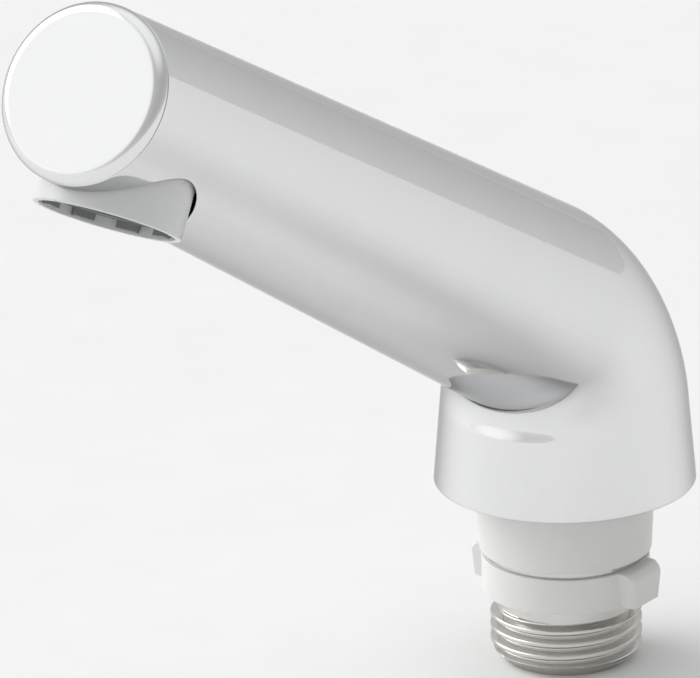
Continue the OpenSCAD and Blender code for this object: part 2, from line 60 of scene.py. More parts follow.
# Body, as in the solids
TURN = np.radians(59.3)          # the arm's turn from the upright
BEND_Z, BEND_R = 22.6, 20.5      # height of the axes' crossing, radius of the bend's centre line
LEG_SLOPE, ARM_SLOPE = np.tan(np.radians(4.84)), np.tan(np.radians(1.25))
WALL = 1.8
RIM_R = span("spout_body", 0)[1]
SEAM_R = 12.35                   # the arm's radius where it meets the front cap
FACE_S, CAP_EDGE = 134.6, 1.8    # the cap's face along the arm, and the radius of its edge
SEAM_S = FACE_S - CAP_EDGE
BEND_T = BEND_R * np.tan(TURN / 2)
BEND_LOW = BEND_Z - BEND_T
BEND_REACH = BEND_R * TURN
BEND_END = BEND_LOW + BEND_REACH           # way along the centre line where the arm starts
LEG_END_R = RIM_R - LEG_SLOPE * BEND_LOW
ARM_START_R = SEAM_R + (SEAM_S - BEND_T) * ARM_SLOPE
WAY_BACK = BEND_T - BEND_END               # from a way on the arm to the distance from the crossing
WAY_END = SEAM_S - WAY_BACK
INNER_SOFT = 0.2                           # how softly the bend's inner side fades into its outer one

# Foot: bore, groove of the retaining ring, web with its hole
FOOT_BORE_R, FOOT_BORE_H = 15.0, 7.0
CLIP_GROOVE_R, CLIP_LOW, CLIP_HIGH = 15.9, 2.96, 4.0
WEB_HOLE_R, WEB_Z = 12.0, 9.3

# Front cap: seam, seat in the arm, plug, ring groove and stud
CAP_SEAM, CAP_BORE_R, CAP_BORE_L = 0.12, 10.75, 2.5
PLUG_R, PLUG_IN_R, PLUG_L, PLATE_IN = 10.7, 9.0, 2.3, -0.6
CAP_GROOVE_R, CAP_GROOVE_W = 9.71, 1.04
STUD_R, STUD_END = 2.95, -7.5

# Outlet, along its own axis from the arm's axis outwards
OUTLET_S = FACE_S - 15
COLLAR_R, COLLAR_H = span("outlet_socket", 0)[1], 14.1
OPENING_R, BLOCK_R, BLOCK_UP = COLLAR_R + 0.45, 10.2, 7.4
CHAMBER_R, CHAMBER_Z, DROP_R = 9.3, 7.4, 3.8

# Aerator housing, along the outlet's axis
HOUSING_R, HOUSING_TOP, HOUSING_LOW = 9.25, 8.6, 13.75
RING_R, RING_LOW = 8.25, 12.65             # inside and foot of the toothed ring
DISC_BORE_R, LIP_R, LIP_TOP = 7.65, 7.25, 12.25
NOTCHES, NOTCH_TURN = 9, 36.4

# Neck, key ring and nipple, downwards from the foot rim
NECK_LOW, FLANGE_TOP = span("guide_sleeve", 2)
NECK_R, NECK_SLOPE = 12.4, np.tan(np.radians(2.9))
FLANGE_R, FLANGE_LOW, SLEEVE_BORE_R = 14.9, 4.0, 9.65
KEY_LOW, KEY_TOP = span("key_ring", 2)
KEY_R, KEY_BORE_R = 11.6, 10.83
LUG_REACH, LUG_SLOPE, LUG_ROUND, LUG_CHAMFER = 13.5, 0.25, 1.5, 0.45
LUG_HALF, LUG_DRAFT = 3.8, 0.6
NIPPLE_LOW, STEM_TOP = span("hose_nipple", 2)
SEAT_R, SHOULDER_R, STEM_R = 10.78, 11.0, 9.6
TUBE_R, TUBE_STOP, WATER_R = 5.55, 4.5, 4.2
VALVE_R, VALVE_TOP, SNAP_R = 7.55, -9.65, 8.05

# Check valve's spring, which the poppet shortens by its travel
SPRING_LOW, SPRING_HIGH = span("valve_spring", 2)
WIRE_R, SPRING_TURNS = 0.25, 6
SPRING_R = span("valve_spring", 0)[1] - WIRE_R

# Hose thread: pitch, radius over the crests, depth, place of a crest, core and bevels of its ends
PITCH, THREAD_R, THREAD_DEPTH, CREST_FLAT = 1.814, 10.4775, 1.162, 0.1
CREST_Z, CREST_TURN = -19.05, np.radians(303.6)
THREAD_SIDES, PITCH_ROWS = 288, 32         # grid of the thread: steps once round and in a pitch
CORE_R, THREAD_TOP, RUNOUT_SLOPE = 9.315, -18.15, 1.9
END_R, END_SLOPE = 8.6, 1.8775 / 1.9

ARM_D = np.array([0, -np.sin(TURN), np.cos(TURN)])     # along the arm
ARM_UP = np.array([0, np.cos(TURN), np.sin(TURN)])     # square to it, away from the outlet
CROSSING = np.array([0, 0, BEND_Z])
SIDES = 240


# Shapes
def arc(before, corner, after, radius):
    """A rounded corner of an outline as rows (r, z, n_r, n_z). The centre lies on the corner's inner
    bisector, the arc runs from one tangent point to the other in steps that rise with the root of its
    radius, and n is to the right of the way."""
    b, c, a = (np.asarray(p, float) for p in (before, corner, after))
    go, on = (c - b) / np.linalg.norm(c - b), (a - c) / np.linalg.norm(a - c)
    phi = np.arctan2(go[0] * on[1] - go[1] * on[0], go @ on)
    n0 = np.array([go[1], -go[0]])
    centre = c - go * radius * np.tan(abs(phi) / 2) - np.sign(phi) * radius * n0
    f = np.linspace(0, phi, int(np.clip(np.ceil(9 * np.sqrt(radius)), 3, 14)))
    n = np.stack([n0[0] * np.cos(f) - n0[1] * np.sin(f), n0[0] * np.sin(f) + n0[1] * np.cos(f)], 1)
    return np.hstack([centre + np.sign(phi) * radius * n, n])


def rounded(corners, closed=True):
    """An outline through corners (r, z, radius), each turned into an arc. An open one starts and ends
    plainly at its first and last corner."""
    c = np.asarray(corners, float)
    n = len(c)
    inner = range(n) if closed else range(1, n - 1)
    rows = [arc(c[i - 1, :2], c[i, :2], c[(i + 1) % n, :2], c[i, 2]) for i in inner]
    if not closed:
        first, last = rows[0][:1].copy(), rows[-1][-1:].copy()
        first[:, :2], last[:, :2] = c[0, :2], c[-1, :2]
        rows = [first] + rows + [last]
    return np.vstack(rows)


def turned(outline, sides=SIDES):
    """An outline turned about the z axis: x = r cos t, y = r sin t, for whole rings at once."""
    t = np.arange(sides) * 2 * np.pi / sides
    ct, st, one = np.cos(t), np.sin(t), np.ones(sides)
    r, z, nr, nz = (outline[:, k, None] for k in range(4))
    return np.stack([r * ct, r * st, z * one], 2), np.stack([nr * ct, nr * st, nz * one], 2)


def grid_quads(rows, sides, loop):
    """Quads between neighbouring rings of a grid. A looped grid joins its last ring to its first."""
    i, j = np.meshgrid(np.arange(rows if loop else rows - 1), np.arange(sides), indexing="ij")
    k, m = (i + 1) % rows, (j + 1) % sides
    return np.stack([i * sides + j, i * sides + m, k * sides + m, k * sides + j], 2).reshape(-1, 4)


def skin_mesh(name, points, normals, quads, finish, stands_for):
    """One closed piece from points and outward normals in millimetres. Points that fall together are
    one, so quads at a pole become triangles. The piece takes the place of a solid, whose body it rides."""
    p, n = np.asarray(points, float).reshape(-1, 3), np.asarray(normals, float).reshape(-1, 3)
    _, keep, back = np.unique(np.round(p, 5), axis=0, return_index=True, return_inverse=True)
    order = np.argsort(keep)
    rank = np.empty_like(order)
    rank[order] = np.arange(len(order))
    back, keep = rank[back.reshape(-1)], keep[order]
    summed = np.zeros((len(keep), 3))
    np.add.at(summed, back, n)
    summed /= np.maximum(np.linalg.norm(summed, axis=1), 1e-9)[:, None]
    q = back[quads]
    same = q == np.roll(q, -1, 1)
    triangles = q[same.sum(1) == 1]
    triangles = triangles[~same[same.sum(1) == 1]].reshape(-1, 3)
    mesh = bpy.data.meshes.new(name)
    mesh.from_pydata((p[keep] / 1000).tolist(), [], q[~same.any(1)].tolist() + triangles.tolist())
    mesh.shade_smooth()
    mesh.normals_split_custom_set_from_vertices(summed.tolist())
    mesh.materials.append(finish)
    piece = bpy.data.objects.new(name, mesh)
    bpy.context.scene.collection.objects.link(piece)
    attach(piece, "spout")
    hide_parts(stands_for)
    return piece


def to_outlet(v, shift=True):
    """From the outlet's own frame, +Z out of the outlet and +Y to the front, to the row frame."""
    return v @ np.array([[1, 0, 0], ARM_D, -ARM_UP]) + (CROSSING + OUTLET_S * ARM_D if shift else 0)


def to_arm(v, shift=True):
    """From the arm's own frame, +Z along the arm from the axes' crossing, to the row frame."""
    return v @ np.array([[1, 0, 0], ARM_UP, ARM_D]) + (CROSSING if shift else 0)


# Finishes
def finish(name, colour, metal=0.0, rough=0.4, grain=5600.0, grain_depth=0.012, mottle=0.02, spread=0.05,
           lines=None, edge=1.0):
    """A finish from Object coordinates: colour and roughness vary a little with soft noise, fine noise
    gives grain of a depth in mm, lines=(axis, spacing in mm, depth) adds the fine marks of turning or
    drawing, and edge is how much of its light a metal keeps at a grazing view."""
    m = bpy.data.materials.new(name)
    m.use_nodes = True
    tree = m.node_tree
    new, link = tree.nodes.new, tree.links.new
    shader = tree.nodes["Principled BSDF"]
    shader.inputs["Metallic"].default_value = metal
    shader.inputs["Specular Tint"].default_value = (edge, edge, edge, 1)
    place = new("ShaderNodeTexCoord").outputs["Object"]

    def noise(scale, detail):
        node = new("ShaderNodeTexNoise")
        node.inputs["Scale"].default_value = scale
        node.inputs["Detail"].default_value = detail
        link(place, node.inputs["Vector"])
        return node.outputs["Fac"]

    def spanned(value, low, high):
        node = new("ShaderNodeMapRange")
        node.inputs["From Min"].default_value, node.inputs["From Max"].default_value = 0.3, 0.7
        node.inputs["To Min"].default_value, node.inputs["To Max"].default_value = low, high
        link(value, node.inputs["Value"])
        return node.outputs["Result"]

    def bump(height, depth, under=None):
        node = new("ShaderNodeBump")
        node.inputs["Strength"].default_value = 1.0
        node.inputs["Distance"].default_value = depth / 1000
        link(height, node.inputs["Height"])
        if under:
            link(under, node.inputs["Normal"])
        return node.outputs["Normal"]

    tint = new("ShaderNodeMix")
    tint.data_type = "RGBA"
    tint.inputs["A"].default_value = (*(c * (1 - mottle) for c in colour), 1)
    tint.inputs["B"].default_value = (*(min(1, c * (1 + mottle)) for c in colour), 1)
    link(spanned(noise(90.0, 3.0), 0, 1), tint.inputs["Factor"])
    link(tint.outputs["Result"], shader.inputs["Base Color"])
    link(spanned(noise(260.0, 4.0), max(0.02, rough - spread), rough + spread), shader.inputs["Roughness"])
    surface = bump(noise(grain, 3.0), grain_depth)
    if lines:
        axis, spacing, depth = lines
        wave = new("ShaderNodeTexWave")
        wave.bands_direction = axis
        wave.inputs["Scale"].default_value = 1000 / spacing / 20 * np.pi
        wave.inputs["Distortion"].default_value = 0.6
        wave.inputs["Detail Scale"].default_value = 3.0
        link(place, wave.inputs["Vector"])
        surface = bump(wave.outputs["Fac"], depth, surface)
    link(surface, shader.inputs["Normal"])
    return m


polished = finish("polished_chrome", (0.82, 0.823, 0.83), 1.0, 0.05, 900.0, 0.0004, 0.008, 0.015,
                  edge=0.55)
plated = finish("satin_nickel_plate", (0.70, 0.69, 0.665), 1.0, 0.22, 1500.0, 0.0012, 0.01, 0.02,
                edge=0.7)
pale_plastic = finish("pale_satin_plastic", (0.74, 0.74, 0.725), rough=0.40, spread=0.05)
collar_plastic = finish("collar_satin_plastic", (0.66, 0.665, 0.67), rough=0.30, grain_depth=0.006)
inner_plastic = finish("water_way_plastic", (0.80, 0.80, 0.77), rough=0.36)
ring_plastic = finish("aerator_ring_plastic", (0.22, 0.225, 0.23), rough=0.36)
# The grille's near-black is painted shade: it stands for the shadow inside the outlet's mouth.
grille_painted_shade = finish("aerator_grille_painted_shade", (0.16, 0.165, 0.17), rough=0.34)
rubber = finish("seal_rubber", (0.020, 0.020, 0.021), rough=0.62, grain=3000.0, grain_depth=0.02,
                mottle=0.15, spread=0.08)
sheet_steel = finish("drawn_steel", (0.52, 0.53, 0.55), 1.0, 0.30, 2200.0, 0.004, 0.04, 0.08,
                     ("X", 0.12, 0.002))
spring_steel = finish("spring_steel", (0.50, 0.51, 0.53), 1.0, 0.24, 2600.0, 0.001, 0.03, 0.06)


# Shell: leg, bend and arm
def shell_radius(way):
    """Outer radius along the centre line: straight tapers on leg and arm, and round the bend a cubic
    that keeps both tapers' slopes at its ends."""
    f = np.clip((way - BEND_LOW) / BEND_REACH, 0, 1)
    bend = (LEG_END_R * (1 + 2 * f) * (1 - f) ** 2 + ARM_START_R * f * f * (3 - 2 * f)
            - LEG_SLOPE * BEND_REACH * f * (1 - f) ** 2 + ARM_SLOPE * BEND_REACH * f * f * (1 - f))
    return np.where(way < BEND_LOW, RIM_R - LEG_SLOPE * way,
                    np.where(way > BEND_END, ARM_START_R - ARM_SLOPE * (way - BEND_END), bend))


def inner_ease(way, t):
    """What the radius gains round the bend's inner side, where the way is short, so that the leg and the
    arm run into the bend without an edge. It is a cubic in f, the share of the bend that lies behind,
    times the share (sqrt(s^2 + INNER_SOFT^2) - s) / 2, which is near -s where s = sin t is below zero and
    fades out above. It comes with its slopes along the way and round it."""
    f = np.clip((way - BEND_LOW) / BEND_REACH, 0, 1)
    leg, arm = (slope * r / BEND_R for slope, r in ((LEG_SLOPE, LEG_END_R), (ARM_SLOPE, ARM_START_R)))
    gain = (leg * f * (1 - f) ** 2 - arm * f * f * (1 - f)) * BEND_REACH
    gain_way = leg * (1 - f) * (1 - 3 * f) - arm * f * (2 - 3 * f)
    root = np.sqrt(np.sin(t) ** 2 + INNER_SOFT ** 2)
    share, share_turn = (root - np.sin(t)) / 2, (np.sin(t) / root - 1) / 2 * np.cos(t)
    return gain * share, gain_way * share, gain * share_turn


def along_way(outline, sides):
    """An outline of rows (r, way, n_r, n_way) turned about the bent centre line. Round the bend a point
    moves farther than the centre by 1 + r sin(t) / BEND_R, which leans its normal, and the inner side's
    gain in radius leans it along the way and round it."""
    r, way, nr, nw = (outline[:, k, None] for k in range(4))
    t = np.arange(sides) * 2 * np.pi / sides
    bent = (way > BEND_LOW) & (way < BEND_END)
    gain, gain_way, gain_turn = (np.where(bent, term, 0) for term in inner_ease(way, t))
    r = r + gain
    a = np.clip((way - BEND_LOW) / BEND_R, 0, TURN)
    on_arm, on_leg = np.maximum(way - BEND_END, 0), np.minimum(way, BEND_LOW)
    centre = np.stack([0 * a, BEND_R * (np.cos(a) - 1) - on_arm * np.sin(TURN),
                       on_leg + BEND_R * np.sin(a) + on_arm * np.cos(TURN)], 2)
    out = np.stack(np.broadcast_arrays(np.cos(t), np.sin(t) * np.cos(a), np.sin(t) * np.sin(a)), 2)
    ahead = np.stack([0 * a, -np.sin(a), np.cos(a)], 2)
    round_way = np.cross(ahead, out)
    stretch = np.where(bent, 1 + r * np.sin(t) / BEND_R, 1.0)
    normal = ((nr * stretch)[:, :, None] * out - (nr * stretch * gain_turn / r)[:, :, None] * round_way
              + (nw - nr * gain_way)[:, :, None] * ahead)
    return centre + r[:, :, None] * out, normal / np.linalg.norm(normal, axis=2)[:, :, None]


def wall_rows(way, inset, inwards=False):
    """Rows of a long wall, at shell_radius less inset. Its normal is square to the radius's slope."""
    step = 0.01
    r = shell_radius(way) - inset
    slope = (shell_radius(way + step) - shell_radius(way - step)) / (2 * step)
    n = np.stack([np.ones_like(way), -slope], 1) / np.hypot(1, slope)[:, None] * (-1 if inwards else 1)
    return np.column_stack([r, way, n])


# The opening's patch of the wall: 12 mm before and after the outlet's axis, 44 columns to each side of
# the lowest one. Its grid gives way to loops that run from its edge to the round rim.
PATCH, PATCH_ROWS, PATCH_COLS, LOWEST = 12.0, 48, 44, SIDES * 3 // 4
RIM_EDGE, INNER_EDGE = 0.3, 0.1            # edge radii of the opening outside and inside
CHORD = 0.93                               # share of an arc across the patch that its chord has
patch_way = np.linspace(OUTLET_S - PATCH, OUTLET_S + PATCH, PATCH_ROWS + 1) - WAY_BACK


def shell_outline():
    """The body's closed outline in rows (r, way, n_r, n_way): foot, outside, cap seat, inside, web and
    foot bore, with the numbers of the patch's first rows outside and inside."""
    plain = 0.8
    foot = rounded([(FOOT_BORE_R, 2, 0), (FOOT_BORE_R, 0, 0.2), (RIM_R, 0, 0.3),
                    (RIM_R - LEG_SLOPE * plain, plain, 0)], closed=False)[:-1]
    bend = np.linspace(BEND_LOW, BEND_END, 60)[1:-1]
    arm = np.linspace(BEND_END, patch_way[0], 60)[:-1]
    outer = wall_rows(np.concatenate([np.linspace(plain, BEND_LOW, 14), bend, arm, patch_way]), 0)
    seat_low = WAY_END - CAP_BORE_L
    end = rounded([(SEAM_R + ARM_SLOPE, WAY_END - 1, 0), (SEAM_R, WAY_END, 0.12),
                   (CAP_BORE_R, WAY_END, 0.1), (CAP_BORE_R, seat_low, 0.1),
                   (CAP_BORE_R - 0.1, seat_low, 0)], closed=False)[1:-1]
    inside = np.concatenate([patch_way[-1:], patch_way[::-1], arm[::-2], bend[::-2],
                             [BEND_LOW, WEB_Z + 0.5]])
    inner = wall_rows(inside, WALL, True)
    top_r = shell_radius(np.array(WEB_Z)) - WALL
    web = rounded([(top_r, WEB_Z + 0.4, 0), (top_r, WEB_Z, 0.1), (WEB_HOLE_R, WEB_Z, 0.2),
                   (WEB_HOLE_R, FOOT_BORE_H, 0.2), (FOOT_BORE_R, FOOT_BORE_H, 0.1),
                   (FOOT_BORE_R, CLIP_HIGH, 0.1), (CLIP_GROOVE_R, CLIP_HIGH, 0.1),
                   (CLIP_GROOVE_R, CLIP_LOW, 0.1), (FOOT_BORE_R, CLIP_LOW, 0.1), (FOOT_BORE_R, 2, 0)],
                  closed=False)[1:-1]
    start_out = len(foot) + len(outer) - len(patch_way)
    start_in = len(foot) + len(outer) + len(end) + 1
    return np.vstack([foot, outer, end, inner, web]), start_out, start_in


def on_wall(x, s, inset):
    """The point of the arm's lower wall at x and distance s, and its outward normal: the height over
    the arm's axis is -sqrt(r^2 - x^2)."""
    r = shell_radius(s - WAY_BACK) - inset
    down = np.sqrt(np.maximum(r * r - x * x, 0.01))
    n = to_arm(np.stack([x / r, -down / r, np.full_like(r, ARM_SLOPE)], 1), False)
    return to_arm(np.stack([x, -down, s], 1)), n / np.linalg.norm(n, axis=1)[:, None]


def patch_edge():
    """The edge of the patch, once round: its columns and rows in the grid, its angle round the arm and
    distance along it, and the angle about the outlet's axis at which each point meets the rim."""
    cols = np.arange(LOWEST - PATCH_COLS, LOWEST + PATCH_COLS + 1)
    rows = np.arange(PATCH_ROWS + 1)
    col = np.concatenate([cols, np.full(PATCH_ROWS, cols[-1]), cols[::-1][1:],
                          np.full(PATCH_ROWS - 1, cols[0])])
    row = np.concatenate([0 * cols, rows[1:], np.full(len(cols) - 1, PATCH_ROWS), rows[::-1][1:-1]])
    phi = (col - LOWEST) * 2 * np.pi / SIDES
    s = patch_way[row] + WAY_BACK
    return col, row, phi, s, np.arctan2(s - OUTLET_S, phi * shell_radius(patch_way[row]) * CHORD)


def loop_on(edge, radius, share, inset):
    """One loop on the wall, a share of the way from the patch's edge to the circle of a radius, evenly
    in the angle round the arm and the distance along it."""
    _, _, phi, s_edge, theta = edge
    s_rim = OUTLET_S + radius * np.sin(theta)
    phi_rim = np.arcsin(np.clip(radius * np.cos(theta) / (shell_radius(s_rim - WAY_BACK) - inset), -1, 1))
    turn, s = phi * (1 - share) + phi_rim * share, s_edge * (1 - share) + s_rim * share
    return on_wall((shell_radius(s - WAY_BACK) - inset) * np.sin(turn), s, inset)


def opening_loops(edge):
    """Loops from the patch's edge outside, over the opening's rounded rim and through its wall, to the
    patch's edge inside. On a rim a loop is let down by the edge radius times 1 - cos q, and its normal
    turns from the wall's to the one that points at the outlet's axis."""
    theta = edge[-1]
    inward = to_outlet(np.stack([-np.cos(theta), -np.sin(theta), 0 * theta], 1), False)
    out = to_outlet(np.array([[0, 0, 1.0]]), False)
    loops = [loop_on(edge, OPENING_R + RIM_EDGE, 1 - (1 - f) ** 1.3, 0) for f in np.linspace(0, 1, 15)[1:]]
    for q in np.linspace(0, np.pi / 2, 6)[1:]:
        radius = OPENING_R + RIM_EDGE * (1 - np.sin(q))
        p, n = on_wall(radius * np.cos(theta), OUTLET_S + radius * np.sin(theta), 0)
        loops.append((p - RIM_EDGE * (1 - np.cos(q)) * out, np.cos(q) * n + np.sin(q) * inward))
    for q in np.linspace(0, np.pi / 2, 4):
        radius = OPENING_R + INNER_EDGE * (1 - np.cos(q))
        p, n = on_wall(radius * np.cos(theta), OUTLET_S + radius * np.sin(theta), WALL)
        loops.append((p + INNER_EDGE * (1 - np.sin(q)) * out, np.cos(q) * inward - np.sin(q) * n))
    for f in np.linspace(1, 0, 8)[1:-1]:
        p, n = loop_on(edge, OPENING_R + INNER_EDGE, f, WALL)
        loops.append((p, -n))
    return loops


def shell():
    """The grid along the bent way without the patch's quads, and the loops in their place."""
    outline, start_out, start_in = shell_outline()
    points, normals = along_way(outline, SIDES)
    quads = grid_quads(len(outline), SIDES, True)
    row, col = quads[:, 0] // SIDES, quads[:, 0] % SIDES
    in_rows = [(row >= first) & (row < first + PATCH_ROWS) for first in (start_out, start_in)]
    in_cols = (col >= LOWEST - PATCH_COLS) & (col < LOWEST + PATCH_COLS)
    edge = patch_edge()
    edge_col, edge_row = edge[:2]
    loops = opening_loops(edge)
    count, first = len(edge_col), len(outline) * SIDES
    ids = np.vstack([(start_out + edge_row) * SIDES + edge_col,
                     first + np.arange(len(loops) * count).reshape(-1, count),
                     (start_in + PATCH_ROWS - edge_row) * SIDES + edge_col])
    beside = np.roll(ids, -1, 1)
    patch = np.stack([ids[:-1], beside[:-1], beside[1:], ids[1:]], 2).reshape(-1, 4)
    loop_n = np.vstack([n for _, n in loops])
    loop_n /= np.linalg.norm(loop_n, axis=1)[:, None]
    skin_mesh("shell", np.vstack([points.reshape(-1, 3)] + [p for p, _ in loops]),
              np.vstack([normals.reshape(-1, 3), loop_n]),
              np.vstack([quads[~(in_cols & (in_rows[0] | in_rows[1]))], patch]),
              polished, "spout_body")


def front_cap():
    """The cap, turned about the arm's axis: stud, plate, plug with its ring groove, rounded edge."""
    groove_high, groove_low = (CAP_GROOVE_W - PLUG_L) / 2, (-CAP_GROOVE_W - PLUG_L) / 2
    start = np.radians(8)              # where the edge's arc leaves the seam's own small edge
    edge_r = SEAM_R - CAP_EDGE + CAP_EDGE * np.tan(np.pi / 4 - start / 2)
    profile = rounded([(0, STUD_END, 0), (STUD_R, STUD_END, 0.3), (STUD_R, PLATE_IN, 0.2),
                       (PLUG_IN_R, PLATE_IN, 0.2), (PLUG_IN_R, -PLUG_L, 0.2), (PLUG_R, -PLUG_L, 0.15),
                       (PLUG_R, groove_low, 0.05), (CAP_GROOVE_R, groove_low, 0.05),
                       (CAP_GROOVE_R, groove_high, 0.05), (PLUG_R, groove_high, 0.05),
                       (PLUG_R, CAP_SEAM, 0.05), (SEAM_R, CAP_SEAM, 0.08),
                       (edge_r, CAP_EDGE, CAP_EDGE), (0, CAP_EDGE, 0)], closed=False)
    p, n = turned(profile)
    p[:, :, 2] += SEAM_S
    skin_mesh("front_cap", to_arm(p), to_arm(n, False), grid_quads(len(p), SIDES, False), polished,
              "end_cap")


def outlet_collar():
    """The collar and its block: a profile turned about the outlet's axis, whose part above the arm's
    axis is held inside a cylinder along the arm: z is at least -sqrt(BLOCK_R^2 - x^2)."""
    top = rounded([(0, -BLOCK_UP, 0), (COLLAR_R, -BLOCK_UP, 0.3), (COLLAR_R, 0, 0)], closed=False)[:-1]
    side = np.linspace(top[-1, 1], 0, 24)[1:]
    side = np.column_stack([np.full_like(side, COLLAR_R), side, np.ones_like(side), 0 * side])
    low = rounded([(COLLAR_R, 0, 0), (COLLAR_R, COLLAR_H, 0.22), (CHAMBER_R, COLLAR_H, 0.12),
                   (CHAMBER_R, CHAMBER_Z, 0.2), (DROP_R, CHAMBER_Z, 0.3), (DROP_R, 0, 0.3), (0, 0, 0)],
                  closed=False)[1:]
    p, n = turned(np.vstack([top, side, low]))
    held = -np.sqrt(np.maximum(BLOCK_R ** 2 - p[:, :, 0] ** 2, 0))
    p[:, :, 2] = np.where(p[:, :, 2] < 0, np.maximum(p[:, :, 2], held), p[:, :, 2])
    skin_mesh("outlet_collar", to_outlet(p), to_outlet(n, False), grid_quads(len(p), SIDES, False),
              collar_plastic, "outlet_socket")


def aerator_ring():
    """The aerator's housing: a turned profile whose toothed rim is cut back between the teeth. The
    rim's height over its foot is multiplied by a square wave round the axis, with steep flanks."""
    step, steep = 360 / NOTCHES, 0.7
    share = np.array([0, steep, 2, 6, 10, 14, 18, 20 - steep]) * step / 40
    cell = np.concatenate([share, share + step / 2])
    t = np.radians(NOTCH_TURN + step / 4 + np.add.outer(np.arange(NOTCHES) * step, cell).reshape(-1))
    tooth = np.tile(np.r_[0.0, np.ones(7), 1.0, np.zeros(7)], NOTCHES)
    low = 0.04
    profile = rounded([(HOUSING_R, HOUSING_TOP, 0.1), (HOUSING_R, HOUSING_LOW, 0.12),
                       (RING_R, HOUSING_LOW, 0.12), (RING_R, RING_LOW, 0.05), (LIP_R, RING_LOW, 0.1),
                       (LIP_R, LIP_TOP, 0.1), (DISC_BORE_R, LIP_TOP, 0.1), (DISC_BORE_R, HOUSING_TOP, 0.1)])
    r, z, nr, nz = (profile[:, k, None] for k in range(4))
    rim = (r > RING_R - 0.05) & (z > RING_LOW)
    z = np.where(rim, RING_LOW + (z - RING_LOW) * (low + (1 - low) * tooth), z)
    one = np.ones_like(t)
    p = np.stack([r * np.cos(t), r * np.sin(t), z * one], 2)
    n = np.stack([nr * np.cos(t), nr * np.sin(t), nz * one], 2)
    skin_mesh("aerator_ring", to_outlet(p), to_outlet(n, False), grid_quads(len(p), len(t), True),
              ring_plastic, "aerator_housing")


def guide_neck():
    """The conical neck and its flange, turned."""
    profile = rounded([(SLEEVE_BORE_R, NECK_LOW, 0.1), (NECK_R + NECK_SLOPE * NECK_LOW, NECK_LOW, 0.25),
                       (NECK_R + NECK_SLOPE * FLANGE_LOW, FLANGE_LOW, 0.15), (FLANGE_R, FLANGE_LOW, 0.15),
                       (FLANGE_R, FLANGE_TOP, 0.15), (SLEEVE_BORE_R, FLANGE_TOP, 0.1)])
    p, n = turned(profile)
    skin_mesh("guide_neck", p, n, grid_quads(len(p), SIDES, True), pale_plastic,
              "guide_sleeve")


def thread_radius(t, z):
    """Radius of the right-hand pipe thread at angle t and height z: 55 degree flanks between a rounded
    root and a slightly flattened crest, held under the bevels at the thread's two ends."""
    lean, half = np.radians(27.5), PITCH / 2
    crest = CREST_Z + PITCH * (t - CREST_TURN) / (2 * np.pi)
    off = np.abs((z - crest + half) % PITCH - half)
    off = np.maximum(off - CREST_FLAT, 0) * half / (half - CREST_FLAT)
    ball = 0.1373 * PITCH
    knee, drop = ball * np.cos(lean), ball * (1 - np.sin(lean))
    flank = THREAD_R - drop - (off - knee) / np.tan(lean)
    top = THREAD_R - ball + np.sqrt(np.maximum(ball ** 2 - off ** 2, 0))
    root = THREAD_R - THREAD_DEPTH + ball - np.sqrt(np.maximum(ball ** 2 - (half - off) ** 2, 0))
    r = np.where(off < knee, top, np.where(half - off < knee, root, flank))
    r = np.minimum(r, CORE_R + np.maximum(THREAD_TOP - z, 0) * RUNOUT_SLOPE)
    return np.minimum(r, END_R + np.maximum(z - NIPPLE_LOW, 0) * END_SLOPE)


def hose_nipple():
    """The thread as a grid of thread_radius over angle and height, closed by the turned outline of the
    stem, shoulder, key ring seat, water way and valve bore. The thread's rows rise with the crests and
    are held between its two ends, so once round a row meets the one a pitch above it. Slopes come from
    central differences."""
    step = 0.004
    t = np.arange(THREAD_SIDES) * 2 * np.pi / THREAD_SIDES
    low, high = NIPPLE_LOW + 0.06, THREAD_TOP - 0.05
    count = int(np.ceil(((high - low) / PITCH + 1) * PITCH_ROWS)) + 1
    start = high - np.arange(count)[::-1, None] * PITCH / PITCH_ROWS
    z = np.clip(start + PITCH * t / (2 * np.pi), low, high)
    r = thread_radius(t, z)
    slope_z = (thread_radius(t, z + step) - thread_radius(t, z - step)) / (2 * step)
    slope_t = (thread_radius(t + step, z) - thread_radius(t - step, z)) / (2 * step) / r
    ct, st = np.cos(t), np.sin(t)
    thread_p = np.stack([r * ct, r * st, z], 2)
    thread_n = np.stack([ct + slope_t * st, st - slope_t * ct, -slope_z], 2)
    thread_n /= np.linalg.norm(thread_n, axis=2)[:, :, None]
    snap_low, snap_high, mouth = NIPPLE_LOW + 0.6, NIPPLE_LOW + 1.45, 0.4
    outline = rounded([(CORE_R, THREAD_TOP + 0.15, 0), (CORE_R, KEY_LOW, 0.15), (SEAT_R, KEY_LOW, 0.1),
                       (SEAT_R, KEY_TOP, 0.06), (SHOULDER_R, KEY_TOP, 0.05), (SHOULDER_R, NECK_LOW, 0.1),
                       (STEM_R, NECK_LOW, 0.1), (STEM_R, STEM_TOP, 0.15), (TUBE_R, STEM_TOP, 0.3),
                       (TUBE_R, TUBE_STOP, 0.1), (WATER_R, TUBE_STOP, 0.2), (WATER_R, VALVE_TOP, 0.2),
                       (VALVE_R, VALVE_TOP, 0.1), (VALVE_R, snap_high, 0.05), (SNAP_R, snap_high, 0.05),
                       (SNAP_R, snap_low, 0.05), (VALVE_R, snap_low, 0.05),
                       (VALVE_R, NIPPLE_LOW + mouth, 0.1), (VALVE_R + mouth, NIPPLE_LOW, 0.05),
                       (END_R, NIPPLE_LOW, 0)], closed=False)[:-1]
    p, n = turned(outline, THREAD_SIDES)
    p, n = np.concatenate([thread_p, p]), np.concatenate([thread_n, n])
    quads = grid_quads(len(p), THREAD_SIDES, True)
    last = quads[:, 0] % THREAD_SIDES == THREAD_SIDES - 1
    row = quads[last, 1:3] // THREAD_SIDES
    above = np.where(row < count, np.minimum(row + PITCH_ROWS, count - 1), row)
    quads[last, 1:3] = above * THREAD_SIDES
    skin_mesh("hose_nipple_thread", p, n, quads, plated, "hose_nipple")


